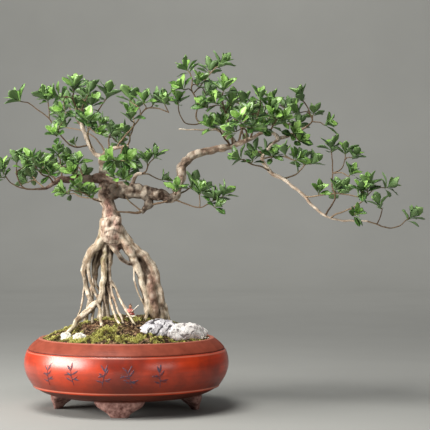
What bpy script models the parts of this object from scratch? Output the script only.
"""A gardenia bonsai in its round clay pot, built piece by piece.

The plant was measured in a front view taken from 3 m away. Its points are given in millimetres as that
view shows them, on the upright plane through the pot's axis: x to the right of the axis, z above the
ground, and then how far the point lies behind that plane (negative towards the viewer).
"""

import math
import random

import bmesh
import bpy
from mathutils import Matrix, Vector
from mathutils.bvhtree import BVHTree

MM = 0.001

# The front view that the plant was measured in, in millimetres from the pot's axis.
VIEW_X = 176.5
VIEW_Z = 387.0
VIEW_DISTANCE = 3000.0

# The pot's axis stands left of the origin, which is under the middle of pot and foliage together.
POT_X = -160.0

GAP = 0.35
FLAT_ANGLE = math.radians(7)

# Pot
POT_SIDES = 32
FOOT_HEIGHT = 29.0
FOOT_TURN = math.radians(-2.5)
FOOT_SIDES = 12
FOOT_HALF = (47.5, 24.0)
FOOT_LOBE = 0.11
# A foot's levels, as height, share of its full size and distance of its middle from the pot's axis.
FOOT_LEVELS = [
    (0.0, 0.34, 138.0), (8.0, 0.48, 136.0), (15.0, 0.72, 133.0), (22.0, 0.90, 130.0),
    (FOOT_HEIGHT + 4.0, 1.0, 128.0),
]
RIM_RADIUS = 173.0
RIM_HEIGHT = 143.0
FLOOR = 12.0
DRAIN_RADIUS = 15.0
DRAIN_SIDES = 12
# The outside from the foot ring to the rim, as radius and height.
POT_OUTSIDE = [
    (144.0, FOOT_HEIGHT), (168.0, 38.0), (184.0, 48.0), (198.5, 69.0), (204.0, 93.0), (198.5, 120.0),
    (188.0, 132.0), (RIM_RADIUS, RIM_HEIGHT),
]
# The inside, a wall's thickness in from it, from the rim to the floor.
POT_INSIDE = [
    (RIM_RADIUS - 7.0, RIM_HEIGHT), (189.0, 117.0), (194.5, 93.0), (189.0, 70.0), (174.0, 53.0),
    (118.0, FOOT_HEIGHT + FLOOR),
]

# Soil: a mound that is highest between the roots and falls to the rim.
SOIL_TOP = 181.0
SOIL_EDGE = 140.0
MOUND_FLAT = 46.0
MOUND_CURVE = 0.20
MOUND_BUMP = 1.8
SOIL_RADIUS = RIM_RADIUS - 9.0
SOIL_SKIRT = 3.0
SOIL_RINGS = 4
SOIL_CLEAR = 1.0

# Wood: x, z, depth and radius of each point, from the root of the limb to its tip.
TRUNK = [
    (-36, 316, 2, 17), (-34, 334, 0, 24), (-32, 355, -1, 25), (-31, 380, 0, 21), (-36, 404, 1, 14.5),
    (-41, 424, 2, 15), (-40, 444, 2, 17), (-39, 455, 2, 11),
]
LEADER = [
    (-40, 448, 2, 12), (-47, 474, 4, 8), (-50, 494, 6, 6.4), (-52, 504, 7, 6), (-64, 510, 9, 5.2),
    (-75, 528, 12, 4.4), (-83, 548, 15, 4), (-89, 564, 17, 3.6), (-92, 584, 18, 3),
]
LEADER_RIGHT = [
    (-51, 500, 7, 5), (-43, 510, 3, 4), (-31, 518, -1, 3.6), (-15, 523, -6, 3.2), (4, 524, -10, 2.8),
]
LEFT_BRANCH = [
    (-38, 448, 0, 12), (-52, 458, -4, 10), (-76, 460, -9, 8.4), (-100, 460, -14, 6.8),
    (-117, 458, -19, 7), (-134, 458, -24, 6.4), (-145, 450, -29, 5), (-162, 441, -34, 3.2),
    (-178, 439, -38, 2.4),
]
RIGHT_LIMB = [
    (-36, 436, 0, 16), (-11, 434, -4, 16), (16, 434, -9, 14.6), (44, 431, -13, 13.6),
    (68, 426, -16, 11), (86, 421, -16, 8),
]
RISING_BRANCH = [
    (72, 423, -16, 7), (88, 422, -15, 8.5), (99, 430, -13, 9), (106, 456, -7, 9.2), (112, 484, 0, 9.2),
    (123, 499, 5, 8.8), (143, 510, 12, 7.6), (171, 517, 19, 6.6), (199, 522, 23, 6.2),
    (219, 528, 22, 6), (232, 533, 19, 5), (250, 541, 13, 4.2), (270, 550, 7, 3.6), (288, 552, 2, 3.4),
    (300, 545, -3, 3.4), (303, 537, -6, 3.2),
]
RISING_FORK = [(303, 540, -6, 3.2), (320, 544, -1, 3), (339, 552, 7, 2.6), (359, 563, 16, 2.3)]
LONG_BRANCH = [
    (303, 538, -6, 3.2), (286, 522, -14, 3.6), (272, 503, -22, 3.8), (275, 489, -28, 3.8),
    (291, 471, -35, 3.6), (314, 458, -42, 3.2), (334, 443, -48, 3), (357, 423, -54, 3),
    (372, 405, -58, 2.7), (390, 390, -61, 2.5), (408, 381, -63, 2.3), (428, 376, -64, 2.2),
    (446, 376, -65, 2.1), (464, 375, -65, 2), (482, 375, -65, 1.9),
]
DEAD_TWIG = [
    (214, 535, 20, 4), (205, 546, 12, 3.4), (180, 557, -2, 2.2), (143, 557, -14, 1.6),
    (104, 559, -24, 1.1),
]
RISER = [(8, 440, -8, 6), (12, 453, -12, 4.2), (20, 467, -16, 3.4), (32, 470, -18, 2.8)]
CUT_STUB = [(78, 424, -18, 6), (82, 412, -24, 5)]
TRUNK_KNOB = [(-30, 368, -12, 11), (-21, 386, -18, 7), (-20, 392, -19, 4)]
CROWN_BUMP = [(-44, 428, -6, 12), (-24, 441, -11, 12), (-8, 446, -10, 8)]
LIMBS = {
    "trunk": TRUNK, "leader": LEADER, "leader_right": LEADER_RIGHT, "left_branch": LEFT_BRANCH,
    "right_limb": RIGHT_LIMB, "rising_branch": RISING_BRANCH, "rising_fork": RISING_FORK,
    "long_branch": LONG_BRANCH, "dead_twig": DEAD_TWIG, "riser": RISER, "cut_stub": CUT_STUB,
    "trunk_knob": TRUNK_KNOB, "crown_bump": CROWN_BUMP,
}

# Roots, from the trunk's foot down into the soil.
ROOTS = [
    # the left leg's outer root and what leaves it
    [(-44, 350, 0, 12), (-60, 324, -3, 9.5), (-75, 307, -5, 7.5), (-84, 289, -7, 6), (-85, 269, -8, 5),
     (-82, 250, -9, 4.6), (-77, 231, -12, 4.4), (-69, 212, -18, 4.2)],
    [(-84, 262, -8, 3), (-86, 232, -8, 2.2), (-91, 204, -10, 2), (-98, 180, -14, 2), (-102, 158, -17, 2)],
    [(-68, 310, -3, 4), (-75, 291, -8, 3.4), (-76, 269, -12, 3.2), (-71, 250, -16, 3),
     (-63, 232, -20, 3), (-55, 214, -24, 3)],
    [(-60, 312, 2, 5), (-68, 276, 6, 3), (-63, 254, 4, 2.8), (-54, 234, 0, 2.8), (-50, 214, -4, 2.8)],
    # the two stout roots in the middle of the left leg
    [(-42, 328, -2, 11), (-46, 298, -6, 7), (-46, 269, -11, 5.6), (-49, 241, -17, 5.4),
     (-55, 217, -25, 5.6), (-67, 204, -33, 6), (-91, 184, -46, 5.6), (-109, 161, -58, 5),
     (-122, 146, -66, 4.2), (-130, 134, -70, 3.6)],
    [(-34, 328, 2, 11), (-34, 306, 3, 7), (-36, 278, 2, 6), (-40, 250, 0, 5.2), (-43, 215, -6, 5),
     (-45, 186, -12, 5), (-46, 160, -15, 5)],
    # the fan in front
    [(-35, 262, -2, 3.6), (-32, 241, -10, 3), (-21, 204, -36, 2.8), (-10, 178, -60, 2.6),
     (-3, 152, -82, 2.4)],
    [(-34, 268, 2, 3.4), (-33, 254, -1, 3), (-21, 236, -13, 2.8), (-10, 210, -32, 2.6),
     (5, 186, -54, 2.4), (20, 158, -76, 2.2)],
    [(-40, 244, -6, 3.4), (-36, 230, -16, 2.8), (-27, 195, -44, 2.6), (-15, 168, -72, 2.4),
     (-9, 148, -88, 2.2)],
    [(-34, 258, 4, 3), (-26, 248, 4, 2.4), (-15, 223, 0, 2.2), (-1, 199, -8, 2.2), (10, 168, -14, 2.2)],
    [(-60, 210, -30, 4), (-54, 198, -40, 3.4), (-52, 177, -60, 3), (-48, 154, -80, 2.8)],
    [(-68, 206, -32, 3.6), (-68, 190, -36, 2.8), (-69, 160, -44, 2.6)],
    # straight strands behind the fan
    [(-48, 232, -18, 3.4), (-42, 206, -26, 2.8), (-36, 180, -34, 2.6), (-33, 158, -40, 2.4)],
    [(-46, 250, -8, 3.4), (-52, 215, 0, 3), (-56, 185, 6, 2.8), (-58, 160, 8, 2.8)],
    # the left leg's back roots
    [(-46, 322, 8, 9), (-58, 292, 16, 6), (-66, 250, 28, 5), (-76, 204, 46, 4.6), (-88, 160, 64, 4)],
    [(-36, 318, 9, 9), (-42, 290, 16, 5.4), (-43, 240, 28, 4.6), (-38, 196, 46, 4.2),
     (-32, 158, 60, 3.8)],
    # the right leg
    [(-22, 352, -2, 13), (-4, 324, -5, 12), (16, 292, -6, 9.5), (31, 254, -6, 8), (40, 214, -8, 7.5),
     (45, 176, -11, 8), (47, 158, -13, 8)],
    [(-16, 354, 3, 13), (6, 326, 3, 12), (30, 306, 3, 11), (48, 286, 3, 10.5), (56, 262, 2, 10),
     (62, 232, 1, 9.5), (67, 202, 0, 9.5), (68, 178, -2, 10.5), (69, 158, -4, 10.5)],
    [(30, 300, -4, 8), (42, 268, -8, 8), (48, 236, -11, 7.5), (52, 204, -14, 7), (54, 178, -18, 7),
     (55, 156, -21, 7)],
    [(58, 252, 6, 7), (70, 222, 8, 6), (76, 196, 8, 5.5), (84, 172, 6, 5), (94, 154, 4, 4)],
    [(20, 312, 8, 9), (38, 276, 14, 8), (48, 240, 20, 7), (54, 204, 30, 6), (60, 170, 42, 5.4),
     (64, 152, 48, 5)],
    [(44, 200, -12, 5), (38, 182, -26, 4.4), (34, 164, -38, 4), (32, 148, -46, 3.6)],
    # the looped root between the legs and the thin one that hangs from it
    [(-30, 322, -8, 6), (-19, 311, -12, 4.4), (-10, 299, -12, 3.6), (1, 292, -10, 3.4),
     (16, 290, -7, 3.2)],
    [(17, 296, -8, 2.6), (14, 270, -12, 1.9), (18, 247, -14, 1.8), (25, 226, -14, 1.8),
     (33, 211, -14, 1.8), (42, 197, -13, 1.8)],
]

# Sprays: the limb that carries each, its twigs (the first leaves the limb, the others leave that one), and
# the middle of each of its rosettes with the rosette's size. A twig point is x, z, depth and radius.
SPRAYS = {
    # the crown over the left pad
    "spray_crown_far_left": ("leader", [
        [(-77, 524, 12, 2.2), (-104, 523, 2, 2), (-127, 540, -10, 1.8), (-142, 560, -18, 1.7),
         (-155, 579, -22, 1.6), (-178, 598, -28, 1.5), (-198, 612, -34, 1.4)],
        [(-155, 580, -22, 1.5), (-156, 604, -24, 1.3), (-158, 616, -24, 1.3)],
    ], [(-213, 627, -38, 1.05), (-161, 631, -24, 1.1), (-141, 557, -34, 0.95), (-103, 534, 10, 0.55)]),
    "spray_crown_left": ("leader", [
        [(-92, 582, 18, 2.2), (-100, 600, 8, 1.8), (-108, 618, -4, 1.6), (-120, 624, -14, 1.5)],
        [(-108, 618, -4, 1.6), (-106, 634, -10, 1.5)],
    ], [(-135, 636, -22, 1.1), (-106, 652, -12, 1.15), (-124, 606, -34, 0.9)]),
    "spray_crown_top": ("leader", [
        [(-92, 580, 18, 2.2), (-88, 602, 24, 1.8), (-80, 622, 28, 1.5)],
    ], [(-77, 642, 30, 1.1), (-71, 616, 8, 1.0), (-88, 630, 56, 0.95)]),
    "spray_crown_back": ("leader", [
        [(-86, 556, 16, 2.2), (-96, 572, 44, 1.8), (-108, 590, 76, 1.6), (-116, 604, 98, 1.4)],
    ], [(-118, 622, 106, 1.0), (-134, 600, 78, 0.9)]),
    "spray_crown_right": ("leader", [
        [(-82, 544, 15, 2.2), (-74, 562, 22, 1.8), (-66, 582, 28, 1.6), (-52, 604, 32, 1.5),
         (-42, 618, 34, 1.4)],
    ], [(-40, 636, 36, 1.1), (-54, 576, 6, 0.95)]),
    "spray_crown_front": ("leader", [
        [(-70, 518, 10, 2.2), (-76, 540, -14, 1.8), (-78, 560, -34, 1.6), (-78, 570, -44, 1.5)],
    ], [(-78, 584, -50, 1.05), (-60, 560, -52, 0.85)]),
    "spray_crown_inner": ("leader_right", [
        [(-42, 510, 4, 2.2), (-56, 534, 30, 1.8), (-80, 552, 52, 1.6), (-108, 560, 68, 1.4)],
    ], [(-121, 573, 76, 0.9)]),
    # over the middle
    "spray_middle_tall": ("leader_right", [
        [(-20, 521, -4, 2.4), (-6, 542, -14, 2.1), (18, 570, -26, 1.9), (34, 596, -34, 1.8),
         (50, 601, -38, 1.7), (68, 599, -42, 1.6), (84, 592, -46, 1.4)],
    ], [
        (8, 628, -24, 1.15), (34, 622, -44, 1.0), (54, 624, -30, 1.05), (76, 620, -54, 1.0),
        (8, 590, -44, 1.15)]),
    "spray_middle_left": ("leader_right", [
        [(-34, 516, 0, 2.2), (-36, 534, 12, 1.8), (-34, 546, 22, 1.6)],
    ], [(-32, 560, 26, 1.0)]),
    "spray_middle_top": ("leader_right", [
        [(0, 524, -9, 2.4), (6, 536, 4, 2), (6, 546, 12, 1.8)],
        [(6, 544, 12, 1.8), (14, 566, 34, 1.6), (12, 590, 50, 1.4)],
    ], [(2, 560, 10, 1.0), (12, 606, 56, 1.0)]),
    "spray_middle_front": ("leader_right", [
        [(-8, 523, -7, 2.4), (-10, 516, -28, 2), (-13, 500, -42, 1.8)],
    ], [(-24, 509, -52, 1.05), (-4, 508, -50, 1.05)]),
    # the left pad
    "spray_left_tip": ("left_branch", [
        [(-176, 439, -38, 2.2), (-201, 439, -42, 1.9), (-214, 452, -44, 1.7), (-221, 470, -46, 1.5)],
        [(-203, 439, -42, 1.6), (-218, 443, -48, 1.4), (-232, 452, -54, 1.3), (-240, 461, -58, 1.2)],
    ], [(-220, 504, -46, 1.05), (-206, 494, -58, 0.95), (-248, 488, -50, 1.05), (-249, 473, -64, 0.95)]),
    "spray_left_low": ("left_branch", [
        [(-164, 440, -34, 2.2), (-176, 450, -20, 1.8), (-186, 462, -6, 1.5)],
    ], [(-190, 476, 0, 1.0)]),
    "spray_left_front": ("left_branch", [
        [(-146, 450, -29, 2.4), (-156, 463, -50, 2), (-170, 468, -70, 1.8), (-180, 480, -84, 1.6)],
    ], [(-187, 504, -90, 1.0), (-170, 490, -74, 1.0)]),
    "spray_left_back": ("left_branch", [
        [(-140, 455, -27, 2.4), (-152, 468, 4, 2), (-162, 478, 34, 1.8), (-170, 486, 58, 1.6)],
    ], [(-174, 500, 66, 1.0), (-154, 490, 30, 0.95)]),
    "spray_left_up": ("left_branch", [
        [(-130, 459, -23, 2.2), (-131, 480, -26, 1.8), (-133, 496, -28, 1.6)],
    ], [(-136, 518, -30, 0.9), (-120, 498, -34, 1.0)]),
    "spray_left_inner": ("left_branch", [
        [(-102, 460, -15, 2.2), (-100, 474, -28, 1.8), (-98, 484, -38, 1.6)],
    ], [(-97, 500, -42, 0.9)]),
    "spray_left_inner_back": ("left_branch", [
        [(-88, 460, -12, 2.2), (-90, 470, 14, 1.8), (-94, 480, 44, 1.6), (-108, 490, 76, 1.5)],
    ], [(-87, 478, 30, 0.9), (-112, 504, 86, 1.0)]),
    # under the left pad
    "spray_low_left_front": ("trunk", [
        [(-40, 408, 0, 2.2), (-66, 419, -24, 1.8), (-92, 433, -44, 1.6), (-112, 436, -56, 1.4)],
    ], [(-124, 442, -62, 0.85), (-94, 450, -50, 0.9)]),
    "spray_low_left_back": ("trunk", [
        [(-40, 412, 0, 2.2), (-64, 420, 26, 1.8), (-86, 422, 50, 1.6), (-106, 430, 72, 1.4)],
    ], [(-118, 440, 80, 0.9), (-90, 440, 56, 0.9)]),
    # round the middle of the tree
    "spray_heart_front": ("right_limb", [
        [(-18, 436, -2, 2.4), (-19, 446, -28, 2), (-20, 458, -44, 1.8)],
    ], [(-26, 474, -50, 0.85)]),
    "spray_heart_back": ("right_limb", [
        [(-8, 434, -4, 2.4), (-4, 448, 24, 2), (2, 464, 46, 1.8), (6, 478, 70, 1.6)],
    ], [(4, 486, 46, 0.9), (10, 496, 80, 1.0)]),
    "spray_riser": ("riser", [
        [(30, 470, -18, 2), (38, 474, -22, 1.8), (42, 484, -26, 1.6)],
    ], [(41, 502, -28, 1.0), (54, 512, -34, 1.0)]),
    "spray_riser_side": ("riser", [
        [(26, 469, -17, 1.8), (44, 468, -4, 1.6), (60, 460, 6, 1.4)],
    ], [(70, 466, 10, 0.75)]),
    # under and beside the rising branch
    "spray_low_loop": ("right_limb", [
        [(40, 430, -12, 2.8), (36, 408, -18, 2.4), (26, 391, -22, 2.2), (0, 392, -24, 1.8),
         (-16, 394, -26, 1.5)],
        [(37, 410, -18, 2), (50, 407, -24, 1.7), (66, 409, -32, 1.4)],
    ], []),
    "spray_low_right": ("right_limb", [
        [(82, 421, -16, 2.2), (108, 413, -24, 1.8), (128, 406, -32, 1.6), (148, 402, -38, 1.5),
         (160, 408, -42, 1.4)],
        [(146, 402, -38, 1.4), (146, 416, -42, 1.2), (145, 426, -44, 1.2)],
    ], [(172, 427, -44, 1.0), (192, 436, -48, 1.0), (147, 442, -46, 1.0)]),
    "spray_low_right_back": ("rising_branch", [
        [(98, 428, -13, 2.4), (112, 432, 8, 2), (124, 440, 26, 1.8)],
    ], [(129, 455, 34, 1.05), (150, 446, 40, 0.95)]),
    "spray_elbow": ("rising_branch", [
        [(96, 427, -14, 2.4), (98, 430, -32, 1.8)],
    ], [(99, 446, -42, 0.85)]),
    # the peak
    "spray_peak_left": ("rising_branch", [
        [(206, 525, 23, 3), (196, 546, 30, 2.6), (178, 559, 34, 2.4), (160, 567, 36, 2.2),
         (146, 572, 36, 2.1), (138, 585, 34, 2), (143, 605, 30, 1.9), (138, 622, 26, 1.8),
         (130, 636, 24, 1.7), (131, 656, 24, 1.6), (126, 672, 24, 1.5)],
        [(148, 571, 36, 1.8), (132, 568, 26, 1.6), (116, 572, 18, 1.5), (105, 592, 14, 1.4),
         (103, 604, 12, 1.4)],
        [(133, 630, 25, 1.7), (144, 642, 34, 1.6), (155, 654, 40, 1.5), (165, 668, 46, 1.5),
         (178, 682, 50, 1.4)],
    ], [
        (122, 688, 24, 1.05), (114, 651, 10, 1.1), (143, 660, 12, 1.0), (103, 622, 8, 0.95),
        (185, 698, 52, 1.05), (164, 686, 62, 0.95), (158, 642, 58, 1.05)]),
    # the wide canopy on the right
    "spray_canopy_a": ("rising_branch", [
        [(212, 527, 22, 2.8), (208, 552, 4, 2.4), (201, 580, -12, 2.1), (194, 604, -22, 1.9),
         (190, 622, -28, 1.7)],
    ], [(193, 648, -34, 1.1), (178, 622, -40, 1.0), (160, 614, -34, 0.95)]),
    "spray_canopy_b": ("rising_branch", [
        [(224, 530, 21, 2.8), (229, 554, 34, 2.4), (236, 576, 48, 2), (238, 596, 60, 1.8)],
    ], [(236, 618, 68, 1.05), (217, 626, 74, 1.0), (208, 604, 62, 0.95)]),
    "spray_canopy_c": ("rising_branch", [
        [(246, 539, 14, 2.6), (254, 562, -6, 2.2), (262, 586, -24, 1.9), (267, 606, -34, 1.7)],
    ], [(267, 628, -40, 1.1), (246, 600, -48, 1.0), (270, 572, -30, 0.9)]),
    "spray_canopy_d": ("rising_branch", [
        [(268, 549, 8, 2.4), (278, 568, 26, 2), (290, 590, 46, 1.8), (298, 604, 60, 1.6)],
    ], [(293, 622, 58, 1.0), (318, 612, 72, 1.0), (290, 578, 22, 0.9)]),
    "spray_canopy_e": ("rising_branch", [
        [(284, 552, 3, 2.4), (292, 564, -16, 2), (300, 578, -34, 1.8)],
    ], [(293, 594, -48, 0.95)]),
    "spray_canopy_low": ("rising_branch", [
        [(208, 525, 23, 2.4), (196, 540, 0, 2), (186, 556, -20, 1.8)],
    ], [(190, 575, -30, 0.95), (168, 572, -34, 0.9)]),
    "spray_canopy_back": ("rising_branch", [
        [(236, 535, 17, 2.6), (232, 552, 50, 2.2), (226, 566, 84, 1.9), (218, 580, 116, 1.7)],
    ], [(212, 596, 126, 1.0), (236, 590, 122, 1.0), (190, 580, 112, 0.95)]),
    "spray_canopy_front": ("rising_branch", [
        [(240, 537, 16, 2.6), (240, 546, -18, 2.2), (238, 556, -50, 1.9), (232, 568, -78, 1.6)],
    ], [(228, 584, -88, 1.0), (250, 572, -82, 0.95)]),
    "spray_fork_tip": ("rising_fork", [
        [(357, 562, 15, 2.2), (370, 574, 22, 1.9), (368, 586, 24, 1.7), (362, 602, 26, 1.6),
         (354, 614, 28, 1.5)],
        [(369, 574, 22, 1.5), (380, 573, 18, 1.4), (388, 572, 14, 1.3)],
    ], [(350, 631, 30, 1.05), (343, 602, 14, 0.9), (396, 578, 10, 0.95)]),
    "spray_fork_side": ("rising_fork", [
        [(322, 545, 0, 2.2), (326, 550, -16, 1.8)],
    ], [(332, 560, -26, 0.95), (346, 543, -30, 0.75)]),
    "spray_fork_back": ("rising_fork", [
        [(334, 550, 5, 2.2), (334, 560, 28, 1.8), (326, 568, 48, 1.6)],
    ], [(318, 582, 56, 0.95)]),
    # along the long branch
    "spray_long_left": ("long_branch", [
        [(288, 473, -34, 2), (268, 484, -44, 1.8), (246, 490, -52, 1.6), (234, 498, -56, 1.5)],
    ], [(229, 510, -58, 1.0), (252, 505, -56, 0.85)]),
    "spray_long_top": ("long_branch", [
        [(275, 508, -21, 2.2), (266, 512, -6, 1.8), (264, 514, 8, 1.6)],
    ], [(258, 522, 18, 0.95)]),
    "spray_long_shoulder": ("long_branch", [
        [(271, 499, -24, 2.2), (290, 503, -44, 1.8), (312, 504, -60, 1.6), (330, 498, -70, 1.5)],
    ], [(291, 514, -52, 0.85), (317, 518, -66, 0.95), (338, 508, -76, 0.95)]),
    "spray_long_upright": ("long_branch", [
        [(312, 459, -41, 2), (334, 466, -34, 1.8), (347, 476, -28, 1.6), (355, 486, -24, 1.5)],
    ], [(352, 504, -20, 1.0), (369, 501, -26, 1.0)]),
    "spray_long_level": ("long_branch", [
        [(356, 424, -54, 2), (372, 424, -68, 1.7), (392, 427, -80, 1.6), (418, 430, -88, 1.5),
         (446, 427, -94, 1.4)],
    ], [(384, 441, -78, 0.95), (462, 432, -98, 0.7)]),
    "spray_long_tall": ("long_branch", [
        [(398, 386, -62, 2.2), (408, 404, -54, 1.9), (417, 423, -46, 1.8), (410, 446, -36, 1.7),
         (412, 468, -28, 1.6), (411, 492, -20, 1.5), (410, 508, -16, 1.4)],
        [(413, 472, -27, 1.5), (428, 478, -20, 1.4), (435, 492, -14, 1.3), (437, 502, -12, 1.3)],
        [(413, 470, -27, 1.5), (430, 471, -34, 1.4), (444, 464, -40, 1.3)],
    ], [
        (409, 529, -14, 1.05), (437, 520, -8, 1.0), (453, 513, -20, 0.9), (446, 478, -42, 0.9),
        (425, 444, -30, 1.05)]),
    "spray_long_end": ("long_branch", [
        [(408, 381, -63, 2.2), (419, 389, -72, 1.9), (437, 395, -80, 1.7), (457, 405, -86, 1.6),
         (472, 416, -90, 1.5), (482, 430, -92, 1.4)],
        [(477, 422, -91, 1.4), (492, 436, -84, 1.3), (508, 442, -78, 1.2)],
    ], [(482, 452, -94, 1.1), (520, 453, -76, 0.95), (456, 396, -104, 0.8)]),
    "spray_long_tip": ("long_branch", [
        [(480, 375, -65, 1.8), (500, 369, -64, 1.7), (513, 363, -62, 1.6), (528, 361, -58, 1.5),
         (546, 366, -53, 1.4), (559, 377, -48, 1.3)],
        [(499, 369, -64, 1.4), (508, 386, -56, 1.3), (511, 398, -52, 1.2)],
    ], [(565, 391, -46, 1.0), (506, 415, -50, 0.95)]),
}

# Leaves
LEAF_LENGTH = 28.0
LEAF_WIDTH = 0.50
LEAF_KEEL = 1.1
LEAF_SHAPE = (1.15, 0.75)
LEAF_ARCH = (0.20, 0.26)
# The stations across a blade: how far along it, and the share of the keel's depth there.
LEAF_STATIONS = [(0.38, 1.0), (0.74, 0.8)]
LEAF_PAIRS = 2
LEANS = [math.radians(66), math.radians(38)]
LEAN_CHANCE = 0.14
LENGTH_CHANCE = 0.11
LEAF_TAPER = 0.08
LEAF_CLEAR = 0.5
# How far, in radians, a leaf may lift or turn from its own way to dodge what is near, in the order tried.
DODGE_LIFTS = (0.0, -0.25, 0.25, -0.5, 0.45)
DODGE_TURNS = (0.0, 0.3, -0.3, 0.6, -0.6)

# Shoots, which are four-sided and carry the leaves in crossed pairs
SHOOT_SIDES = 4
SHOOT_RADIUS = 1.5
STUB_CLEAR = 1.8
SAMPLE_STEP = 1.5
TWIG_STEP = 28.0
STALK_BEND = 30.0
TIP_REACH = 26.0
STALK_SPLAY = 0.55
ROSETTE_LIFT = 12.0
ROSETTE_STEP = 3.2
ROSETTE_RISE = 0.9
SHOOT_TAPER = 0.06

# Limbs and roots: how far apart their rings are, and how many sides they have from this radius up
LIMB_STEP = 23.0
LIMB_SIDES = [(14.0, 8), (7.5, 6), (4.4, 5), (0.0, 4)]
FINE_STEP = 3.0

# Stones: name, middle (x, z, depth), half sizes (x, z, depth), seed, turn about z and material colour.
ROCK_SWELLS = 5
ROCK_SWELL = 0.075
ROCK_WAVE = 3.1
ROCK_FLAT = -0.75
STONES = {
    "stone_tall": ((62, 154, -82), (42, 23, 25), 73, 34, (0.62, 0.63, 0.65)),
    "stone_flat": ((120.5, 151, -71), (55, 17, 15), 76, 56, (0.66, 0.63, 0.63)),
    "pebble_left": ((-121, 142.5, -98), (11, 9, 8), 5, 0, (0.86, 0.85, 0.82)),
    "pebble_right": ((-96, 142.5, -115), (12, 9, 8), 11, 0, (0.86, 0.85, 0.82)),
}

# Figurine: a seated robed fisher on a small rock, turned to the viewer.
FIGURE_AT = (9.0, 184.0, -26.0)
# Its rock, robe, lap, both sleeves, head and topknot, as middle, half sizes and tilt in degrees.
FIGURE_BALLS = [
    ((0.0, 0.0, 0.5), (10.0, 7.5, 5.0), 0),
    ((-3.0, 0.0, 9.0), (5.6, 5.0, 8.0), 0),
    ((0.5, -3.0, 5.5), (6.5, 4.5, 3.6), 0),
    ((-5.5, -1.5, 11.5), (2.4, 2.8, 4.8), 15),
    ((0.8, -3.5, 11.0), (2.2, 4.0, 2.4), -30),
    ((-2.0, -0.5, 19.0), (3.4, 3.5, 4.0), 0),
    ((-1.6, 0.8, 23.2), (1.6, 1.6, 1.8), 0),
]
# The fishing rod, as middle and radius at both ends.
FIGURE_ROD = [((2.0, -5.5, 10.0), 0.8), ((15.0, -7.0, 23.0), 0.6)]

COLOURS = {
    "pot": (0.55, 0.13, 0.06),
    "soil": (0.10, 0.07, 0.045),
    "wood": (0.52, 0.42, 0.33),
    "leaf": (0.10, 0.28, 0.08),
    "figure": (0.55, 0.16, 0.13),
}


def clear_scene():
    for item in list(bpy.data.objects):
        bpy.data.objects.remove(item)


def material(name, colour, roughness):
    made = bpy.data.materials.get(name)
    if made is None:
        made = bpy.data.materials.new(name)
        made.use_nodes = True
        shader = made.node_tree.nodes["Principled BSDF"]
        shader.inputs["Base Color"].default_value = (*colour, 1.0)
        shader.inputs["Roughness"].default_value = roughness
        shader.inputs["Metallic"].default_value = 0.0
    return made


def place(x, z, depth):
    """The point, in millimetres, that the front view shows at x, z, this deep behind the pot's axis."""
    spread = (VIEW_DISTANCE + depth) / VIEW_DISTANCE
    return Vector((POT_X + VIEW_X + (x - VIEW_X) * spread, depth, VIEW_Z + (z - VIEW_Z) * spread))


def smooth_path(points, step):
    """A Catmull-Rom curve through points of (Vector, radius), with about one sample for each step."""
    ends = [points[0], *points, points[-1]]
    samples = []
    for (p0, r0), (p1, r1), (p2, r2), (p3, r3) in zip(ends, ends[1:], ends[2:], ends[3:]):
        pieces = max(1, round((p2 - p1).length / step))
        for k in range(pieces):
            t = k / pieces
            weights = (
                -0.5 * t + t * t - 0.5 * t**3,
                1 - 2.5 * t * t + 1.5 * t**3,
                0.5 * t + 2 * t * t - 1.5 * t**3,
                -0.5 * t * t + 0.5 * t**3,
            )
            spot = p0 * weights[0] + p1 * weights[1] + p2 * weights[2] + p3 * weights[3]
            samples.append((spot, r1 + (r2 - r1) * t))
    samples.append(points[-1])
    return samples


def front_path(points, step):
    """A smooth path through points that are given as the front view shows them."""
    return smooth_path([(place(x, z, depth), radius) for x, z, depth, radius in points], step)


def tangents(path):
    spots = [spot for spot, radius in path]
    steps = [b - a for a, b in zip(spots, spots[1:])]
    inner = [a.normalized() + b.normalized() for a, b in zip(steps, steps[1:])]
    return [way.normalized() for way in [steps[0], *inner, steps[-1]]]


def rings_along(path, sides, grow=0.0, turn=0.0):
    """Rings of points round a path, turned as little as possible from one to the next."""
    ways = tangents(path)
    side = Matrix.Rotation(turn, 3, ways[0]) @ ways[0].orthogonal().normalized()
    rings = []
    for (spot, radius), way in zip(path, ways):
        side = (side - way * side.dot(way)).normalized()
        across = way.cross(side)
        ring = []
        for k in range(sides):
            angle = math.tau * k / sides
            ring.append(spot + (side * math.cos(angle) + across * math.sin(angle)) * (radius + grow))
        rings.append(ring)
    return rings


def stacked_faces(rings, sides):
    """The faces between rings of points one above the other, with a cap at each end, the top cap last."""
    faces = [tuple(reversed(range(sides)))]
    for ring in range(rings - 1):
        for k in range(sides):
            a = ring * sides + k
            b = ring * sides + (k + 1) % sides
            faces.append((a, b, b + sides, a + sides))
    last = (rings - 1) * sides
    return [*faces, tuple(range(last, last + sides))]


def tube(path, sides, grow=0.0):
    """A closed tube round a path."""
    rings = rings_along(path, sides, grow)
    return [point for ring in rings for point in ring], stacked_faces(len(path), sides)


def leaf_stations(root, way, up, length, grow=0.0):
    """Two stations of left edge, right edge and keel along a pointed oval blade, and its tip.

    The half width at t along the blade is width / 2 * sin(pi * t ** p) ** q, where LEAF_SHAPE gives p and q,
    and the blade rises and then falls as a parabola.
    """
    side = way.cross(up).normalized()
    up = side.cross(way).normalized()
    rise, fall = LEAF_ARCH
    points = []
    for t, share in LEAF_STATIONS:
        half = length * LEAF_WIDTH / 2 * math.sin(math.pi * t ** LEAF_SHAPE[0]) ** LEAF_SHAPE[1] + grow
        middle = root + way * (length * t) + up * (length * (rise * t - fall * t * t))
        points += [middle - side * half + up * grow, middle + side * half + up * grow]
        points.append(middle - up * (share * LEAF_KEEL + grow))
    points.append(root + way * (length + grow) + up * (length * (rise - fall)))
    return points


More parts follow.
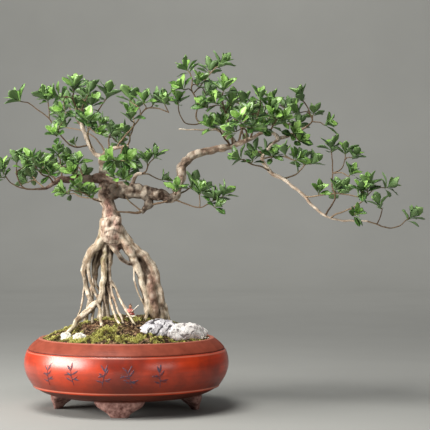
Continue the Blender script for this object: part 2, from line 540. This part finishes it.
def blade_faces(first):
    """The faces of a blade beyond its first station, whose left edge is the point with this number."""
    left, right, keel, tip = first, first + 1, first + 2, first + 6
    return [
        (left, left + 3, left + 4), (left, left + 4, right), (right, right + 3, keel + 3),
        (right, keel + 3, keel), (keel, keel + 3, left + 3), (keel, left + 3, left),
        (left + 3, tip, left + 4), (left + 4, tip, left + 5), (left + 5, tip, left + 3),
    ]


def blade_envelope(root, way, up, length):
    """A leaf's blade by itself and a little swollen, to test what it would touch."""
    points = leaf_stations(root, way, up, length, LEAF_CLEAR)
    heel = len(points)
    points.append(root + way * (length * 0.12))
    return points, [*blade_faces(0), (0, 1, heel), (1, 2, heel), (2, 0, heel)]


def shoot(path, turn, leaves):
    """A four-sided shoot, with a leaf drawn out of each of its faces that leaves names by ring and side."""
    rings = rings_along(path, SHOOT_SIDES, turn=turn)
    points = [point for ring in rings for point in ring]
    faces = [tuple(reversed(range(SHOOT_SIDES)))]
    for ring in range(len(path) - 1):
        for k in range(SHOOT_SIDES):
            a = ring * SHOOT_SIDES + k
            b = ring * SHOOT_SIDES + (k + 1) % SHOOT_SIDES
            c, d = b + SHOOT_SIDES, a + SHOOT_SIDES
            if (ring, k) not in leaves:
                faces.append((a, b, c, d))
                continue
            left = len(points)
            right, keel = left + 1, left + 2
            points += leaf_stations(*leaves[ring, k])
            faces += [(d, left, right), (d, c, left), (a, d, right), (a, right, keel), (a, keel, b)]
            faces += [(b, keel, left), (b, left, c), *blade_faces(left)]
    last = (len(path) - 1) * SHOOT_SIDES
    faces.append(tuple(range(last, last + SHOOT_SIDES)))
    return points, faces


def mesh_object(name, shape, paint, collection=None):
    points, faces = shape
    mesh = bpy.data.meshes.new(name)
    mesh.from_pydata([tuple(point * MM) for point in points], [], faces)
    mesh.materials.append(paint)
    made = bpy.data.objects.new(name, mesh)
    (collection or bpy.context.scene.collection).objects.link(made)
    return made


def outward(mesh):
    """Turns every face of a mesh outwards."""
    shape = bmesh.new()
    shape.from_mesh(mesh)
    bmesh.ops.recalc_face_normals(shape, faces=shape.faces[:])
    shape.to_mesh(mesh)
    shape.free()


def apply_modifiers(item):
    """Keeps what the item's modifiers make of its mesh, and drops the modifiers."""
    view = bpy.context.evaluated_depsgraph_get()
    mesh = bpy.data.meshes.new_from_object(item.evaluated_get(view))
    item.modifiers.clear()
    item.data = mesh


def boolean(item, operation, shapes, paint, solver):
    """Joins shapes to the item, or cuts them from it, by one Boolean on a collection."""
    helpers = bpy.data.collections.new(item.name + "_shapes")
    bpy.context.scene.collection.children.link(helpers)
    for k, shape in enumerate(shapes):
        helper = mesh_object(f"{item.name}_shape_{k}", shape, paint, helpers)
        helper.hide_render = True
        helper.display_type = "WIRE"
        outward(helper.data)
    step = item.modifiers.new(operation.title(), "BOOLEAN")
    step.operation = operation
    step.operand_type = "COLLECTION"
    step.collection = helpers
    step.solver = solver
    apply_modifiers(item)
    for helper in list(helpers.objects):
        bpy.data.objects.remove(helper)
    bpy.data.collections.remove(helpers)


def merge_flat(item):
    """Merges neighbouring facets above the soil that lie within a few degrees of one plane."""
    shape = bmesh.new()
    shape.from_mesh(item.data)
    high = {vertex for vertex in shape.verts if vertex.co.z > (SOIL_TOP + LIMB_STEP) * MM}
    edges = [edge for edge in shape.edges if edge.verts[0] in high and edge.verts[1] in high]
    bmesh.ops.dissolve_limit(shape, angle_limit=FLAT_ANGLE, verts=list(high), edges=edges)
    shape.to_mesh(item.data)
    shape.free()


def finish(item, angle=35):
    item.data.shade_smooth()
    item.data.set_sharp_from_angle(angle=math.radians(angle))
    return item


def fused(name, shapes, paint, solver="MANIFOLD"):
    made = mesh_object(name, shapes[0], paint)
    outward(made.data)
    if len(shapes) > 1:
        boolean(made, "UNION", shapes[1:], paint, solver)
        merge_flat(made)
    return finish(made)


def turned(profile, sides):
    """The closed shape that a profile of (radius, height) makes round the pot's axis."""
    points = []
    for radius, height in profile:
        for k in range(sides):
            angle = math.tau * k / sides
            points.append(Vector((POT_X + radius * math.cos(angle), radius * math.sin(angle), height)))
    return points, stacked_faces(len(profile), sides)


def foot(turn):
    """A foot like a three-lobed cloud, wide where it meets the pot, and narrow and further out at the ground."""
    spin = Matrix.Rotation(turn, 3, "Z")
    points = []
    for height, scale, ring in FOOT_LEVELS:
        for k in range(FOOT_SIDES):
            angle = math.tau * k / FOOT_SIDES
            swell = scale * (1 + FOOT_LOBE * math.cos(3 * angle + math.pi / 2))
            along = FOOT_HALF[0] * swell * math.cos(angle)
            across = FOOT_HALF[1] * swell * math.sin(angle)
            points.append(spin @ Vector((along, across - ring, height)) + Vector((POT_X, 0, 0)))
    return points, stacked_faces(len(FOOT_LEVELS), FOOT_SIDES)


def make_pot():
    clay = material("clay", COLOURS["pot"], 0.4)
    pot = mesh_object("pot", turned([*POT_OUTSIDE, *POT_INSIDE], POT_SIDES), clay)
    outward(pot.data)
    boolean(pot, "UNION", [foot(FOOT_TURN + k * math.tau / 4) for k in range(4)], clay, "MANIFOLD")
    hole = [(Vector((POT_X, 0, FOOT_HEIGHT + end)), DRAIN_RADIUS) for end in (-FLOOR, 2 * FLOOR)]
    boolean(pot, "DIFFERENCE", [tube(hole, DRAIN_SIDES)], clay, "MANIFOLD")
    return finish(pot, 40)


def mound_height(x, y):
    """Height of the soil at x, y from the pot's axis: flat on top, then a slope to the rim, with bumps."""
    away = math.hypot(x, y)
    fall = min(1.0, max(0.0, (away - MOUND_FLAT) / (SOIL_RADIUS - MOUND_FLAT)))
    eased = fall * (1 - MOUND_CURVE + MOUND_CURVE * fall)
    bumps = math.sin(x / 21 + 1.1) * math.cos(y / 17 - 0.4) * (1 - fall) ** 0.5
    return SOIL_TOP + (SOIL_EDGE - SOIL_TOP) * eased + MOUND_BUMP * bumps


def soil_shape():
    """A plug that fills the pot, with the mound on top."""
    rows = [(radius - GAP - 0.1, height) for radius, height in reversed(POT_INSIDE[1:-1])]
    rows = [(POT_INSIDE[-1][0], POT_INSIDE[-1][1] + GAP), *rows, (SOIL_RADIUS + 1.0, SOIL_EDGE - SOIL_SKIRT)]
    points = turned(rows, POT_SIDES)[0]
    for ring in range(SOIL_RINGS):
        radius = SOIL_RADIUS * (1 - ring / SOIL_RINGS)
        for k in range(POT_SIDES):
            angle = math.tau * k / POT_SIDES
            x, y = radius * math.cos(angle), radius * math.sin(angle)
            points.append(Vector((POT_X + x, y, mound_height(x, y))))
    faces = stacked_faces(len(rows) + SOIL_RINGS, POT_SIDES)[:-1]
    last = len(points) - POT_SIDES
    faces += [(last + k, last + (k + 1) % POT_SIDES, len(points)) for k in range(POT_SIDES)]
    points.append(Vector((POT_X, 0, mound_height(0, 0))))
    return points, faces


def rock(middle, half, seed, turn, grow):
    """A rough stone: a ball with sine swells for its humps and a flat foot, pulled to its half sizes and
    turned about the upright line through its middle."""
    ball = bmesh.new()
    bmesh.ops.create_icosphere(ball, subdivisions=2, radius=1.0)
    draw = random.Random(seed)
    swells = []
    for _ in range(ROCK_SWELLS):
        way = Vector((draw.uniform(-1, 1), draw.uniform(-1, 1), draw.uniform(-1, 1))).normalized()
        swells.append((way, draw.uniform(0, math.tau)))
    across, up, deep = half
    spin = Matrix.Rotation(math.radians(turn), 3, "Z")
    points = []
    for vertex in ball.verts:
        spot = vertex.co.copy()
        waves = [math.sin(ROCK_WAVE * spot.dot(way) * (1 + 0.3 * k) + phase)
                 for k, (way, phase) in enumerate(swells)]
        spot *= 1 + ROCK_SWELL * sum(waves)
        spot.z = max(ROCK_FLAT, spot.z)
        spot = Vector((spot.x * (across + grow), spot.y * (deep + grow), spot.z * (up + grow)))
        points.append(middle + spin @ spot)
    faces = [tuple(corner.index for corner in face.verts) for face in ball.faces]
    ball.free()
    return points, faces


def stone_shape(name, grow=0.0):
    spot, half, seed, turn, _ = STONES[name]
    return rock(place(*spot), half, seed, turn, grow)


def ellipsoid(middle, half, tilt):
    """A ball pulled to its half sizes, then tilted about the line of sight."""
    ball = bmesh.new()
    bmesh.ops.create_uvsphere(ball, u_segments=6, v_segments=4, radius=1.0)
    turn = Matrix.Rotation(tilt, 3, "Y")
    points = [middle + turn @ Vector(a * b for a, b in zip(vertex.co, half)) for vertex in ball.verts]
    faces = [tuple(corner.index for corner in face.verts) for face in ball.faces]
    ball.free()
    return points, faces


def figure_shapes(grow=0.0):
    """The figurine's balls, its rock first, and its fishing rod."""
    base = place(*FIGURE_AT)
    shapes = []
    for middle, half, tilt in FIGURE_BALLS:
        shapes.append(ellipsoid(base + Vector(middle), [size + grow for size in half], math.radians(tilt)))
    rod = [(base + Vector(end), radius) for end, radius in FIGURE_ROD]
    return [*shapes, tube(rod, 5, grow)]


def clearance(spot, wood):
    return min((spot - other).length - radius for other, radius in wood)


def split_at_limb(twig, limb, wood):
    """Moves a twig's first point onto the limb, and cuts it where it comes clear.

    Gives the stub and the twig beyond. The stub runs straight to the cut, and the twig starts a gap
    beyond it, so both are cut square.
    """
    start, radius = min(limb, key=lambda sample: (sample[0] - twig[0][0]).length)
    path = smooth_path([(start, twig[0][1]), *twig[1:]], 1.0)
    cut = next(k for k, (spot, r) in enumerate(path) if k > 3 and clearance(spot, wood) > r + STUB_CLEAR)
    spot, r = path[cut]
    way = (spot - start).normalized()
    return [(start, r), (spot, r)], [(spot + way * GAP, r), (spot + way * 2.0, r), *path[cut + 3 :]]


def thinned(path, step):
    """Keeps the first two and the last sample of a path, and one for about every step between them."""
    kept = [path[0], path[1]]
    for sample in path[2:-1]:
        if (sample[0] - kept[-1][0]).length >= step:
            kept.append(sample)
    if (path[-1][0] - kept[-1][0]).length < 0.4 * step and len(kept) > 2:
        kept.pop()
    return [*kept, path[-1]]


def limb_tube(points, grow=0.0):
    """A limb or a root as a tube, with more sides the thicker it is, and grown all round and at its tip."""
    path = front_path(points, FINE_STEP)
    sides = next(sides for least, sides in LIMB_SIDES if path[0][1] >= least)
    path = [path[0], *thinned(path, LIMB_STEP)[2:]]
    tip, radius = path[-1]
    way = (tip - path[-2][0]).normalized()
    return tube([*path[:-1], (tip + way * grow, radius)], sides, grow)


def samples_on(path):
    """Samples along the straight pieces of a path, as spot, radius and the way it runs there."""
    samples = []
    for (a, thick), (b, thin) in zip(path[1:], path[2:]):
        pieces = max(1, round((b - a).length / SAMPLE_STEP))
        way = (b - a).normalized()
        samples += [(a.lerp(b, k / pieces), thick + (thin - thick) * k / pieces, way) for k in range(pieces)]
    return samples


def nearest_on_twigs(base, twigs):
    """The place on the twigs that a stalk to base leaves from, best where it can lean along the twig."""

    def cost(sample):
        reach = base - sample[0]
        lean = sample[2].dot(reach.normalized()) if reach.length > 1e-6 else 1.0
        return reach.length * (1 + STALK_SPLAY * (1 - lean) ** 2)

    return min((sample for path in twigs for sample in samples_on(path)), key=cost)


def make_twigs(main_twig, side_twigs):
    """The twigs of a spray with fewer samples, each side twig starting on the straight pieces of another."""
    twigs = [thinned(main_twig, TWIG_STEP)]
    for points in side_twigs:
        spots = [sample[0] for path in twigs for sample in samples_on(path)]
        start = min(spots, key=lambda spot: (spot - points[0][0]).length)
        twigs.append(thinned(smooth_path([(start, points[0][1]), *points[1:]], SAMPLE_STEP), TWIG_STEP))
    return twigs


def plan_rosettes(rosettes, twigs, seed):
    """The shoots of a spray, as path and rosette.

    Each twig is carried on to the rosette near its end, and every other rosette gets a stalk of its own.
    A rosette is its turn, its size and the chances that its leaves differ by.
    """
    draw = random.Random(seed)
    carried = [None] * len(twigs)
    stalks = []
    for x, z, depth, size in rosettes:
        base = place(x, z - ROSETTE_LIFT * size, depth)
        gaps = [
            (path[-1][0] - base).length if carried[k] is None else math.inf for k, path in enumerate(twigs)
        ]
        own = gaps.index(min(gaps))
        if gaps[own] < TIP_REACH:
            spot, radius = twigs[own][-1]
            way = tangents(twigs[own])[-1]
            start = twigs[own]
        else:
            own = None
            spot, radius, way = nearest_on_twigs(base, twigs)
            thick = min(radius, SHOOT_RADIUS)
            reach = base - spot
            start = [(spot, thick)]
            if reach.length > STALK_BEND:
                start.append((spot + way * (0.25 * reach.length) + reach * 0.25, thick))
        heading = ((base - spot).normalized() + way * 0.4 + Vector((0, 0, ROSETTE_RISE))).normalized()
        thick = min(radius, SHOOT_RADIUS)
        knots = [
            (base + heading * (ROSETTE_STEP * k), thick * (1.0 - SHOOT_TAPER * k))
            for k in range(LEAF_PAIRS + 1)
        ]
        rosette = (draw.uniform(0, math.tau), size, [draw.uniform(-1, 1) for _ in range(4 * LEAF_PAIRS)])
        if own is None:
            stalks.append(([*start, *knots], rosette))
        else:
            carried[own] = ([*start, *knots], rosette)
    bare = [(path, None) for path, shoot_made in zip(twigs, carried) if shoot_made is None]
    return [item for item in carried if item] + bare + stalks


def plan_leaves(path, turn, size, chances):
    """The leaves of a rosette: ring and side, root, outward way, heading, lean and length of each."""
    rings = rings_along(path, SHOOT_SIDES, turn=turn)
    slots = []
    for pair in range(LEAF_PAIRS):
        ring = len(path) - 1 - LEAF_PAIRS + pair
        heading = (path[ring + 1][0] - path[ring][0]).normalized()
        for half in range(2):
            side = pair % 2 + 2 * half
            corners = [rings[r][k % SHOOT_SIDES] for r in (ring, ring + 1) for k in (side, side + 1)]
            root = sum(corners, Vector()) / 4
            out = root - (path[ring][0] + path[ring + 1][0]) / 2
            out = (out - heading * out.dot(heading)).normalized()
            first, second = chances[4 * pair + 2 * half : 4 * pair + 2 * half + 2]
            lean = LEANS[pair] + LEAN_CHANCE * first
            length = LEAF_LENGTH * size * (1.0 - LEAF_TAPER * pair) * (1 + LENGTH_CHANCE * second)
            slots.append(((ring, side), root, out, heading, lean, length))
    return slots


def leaf_ways(out, heading, lean):
    """The leaf's own way first, then ways turned from it a little more each time, to dodge what is near."""
    for lift in DODGE_LIFTS:
        for turn in DODGE_TURNS:
            swung = Matrix.Rotation(turn, 3, heading) @ out
            angle = lean + lift
            way = heading * math.cos(angle) + swung * math.sin(angle)
            up = heading * math.sin(angle) - swung * math.cos(angle)
            yield way, up


def tree_of(shape):
    points, faces = shape
    middle = sum(points, Vector()) / len(points)
    reach = max((point - middle).length for point in points)
    return middle, reach, BVHTree.FromPolygons(points, faces)


def meets(candidate, others):
    middle, reach, tree = candidate
    for other_middle, other_reach, other_tree in others:
        if (middle - other_middle).length < reach + other_reach and tree.overlap(other_tree):
            return True
    return False


def grow_leaves(sprays, fixed):
    """Gives each spray its leaves, every one turned clear of other nodes and of its own neighbours."""
    solid = {
        name: [tree_of(tube(path, SHOOT_SIDES, LEAF_CLEAR)) for path, rosette in shoots]
        for name, shoots in sprays.items()
    }
    grown = {}
    for name, shoots in sprays.items():
        foreign = fixed + [tree for other in solid if other != name for tree in solid[other]]
        own = []
        grown[name] = []
        for path, rosette in shoots:
            leaves = {}
            turn = rosette[0] if rosette else 0.0
            for slot, root, out, heading, lean, length in plan_leaves(path, *rosette) if rosette else []:
                for way, up in leaf_ways(out, heading, lean):
                    envelope = tree_of(blade_envelope(root, way, up, length))
                    if not meets(envelope, foreign) and not meets(envelope, own):
                        leaves[slot] = (root, way, up, length)
                        own.append(envelope)
                        break
            grown[name].append(shoot(path, turn, leaves))
        solid[name] += own
    return grown


def make_tree(fixed):
    """The trunk with its roots and limbs, then every spray of twigs and leaves."""
    bark = material("bark", COLOURS["wood"], 0.75)
    green = material("leaf", COLOURS["leaf"], 0.35)
    limbs = {name: front_path(points, FINE_STEP) for name, points in LIMBS.items()}
    wood = [sample for path in limbs.values() for sample in path]
    wood += [sample for points in ROOTS for sample in front_path(points, FINE_STEP)]
    shapes = [limb_tube(points) for points in [*LIMBS.values(), *ROOTS]]
    sprays = {}
    for seed, (name, (limb, twig_points, rosettes)) in enumerate(SPRAYS.items()):
        rough = [[(place(x, z, depth), radius) for x, z, depth, radius in points] for points in twig_points]
        stub, main_twig = split_at_limb(rough[0], limbs[limb], wood)
        shapes.append(tube(stub, SHOOT_SIDES))
        sprays[name] = plan_rosettes(rosettes, make_twigs(main_twig, rough[1:]), seed)
    trunk = fused("trunk", shapes, bark)
    points = [vertex.co / MM for vertex in trunk.data.vertices]
    faces = [tuple(face.vertices) for face in trunk.data.polygons]
    for name, shapes in grow_leaves(sprays, [*fixed, tree_of((points, faces))]).items():
        fused(name, shapes, green)


def main():
    clear_scene()
    make_pot()
    earth = material("soil", COLOURS["soil"], 0.95)
    soil = mesh_object("soil", soil_shape(), earth)
    outward(soil.data)
    cuts = [limb_tube(points, SOIL_CLEAR) for points in ROOTS]
    cuts += [stone_shape(name, SOIL_CLEAR) for name in STONES]
    cuts += figure_shapes(SOIL_CLEAR)[:1]
    boolean(soil, "DIFFERENCE", cuts, earth, "MANIFOLD")
    finish(soil)
    for name in STONES:
        colour = STONES[name][-1]
        fused(name, [stone_shape(name)], material(name, colour, 0.8))
    fused("figurine", figure_shapes(), material("figure", COLOURS["figure"], 0.5))
    make_tree([tree_of(soil_shape()), tree_of(turned([*POT_OUTSIDE, *POT_INSIDE], POT_SIDES))])


main()
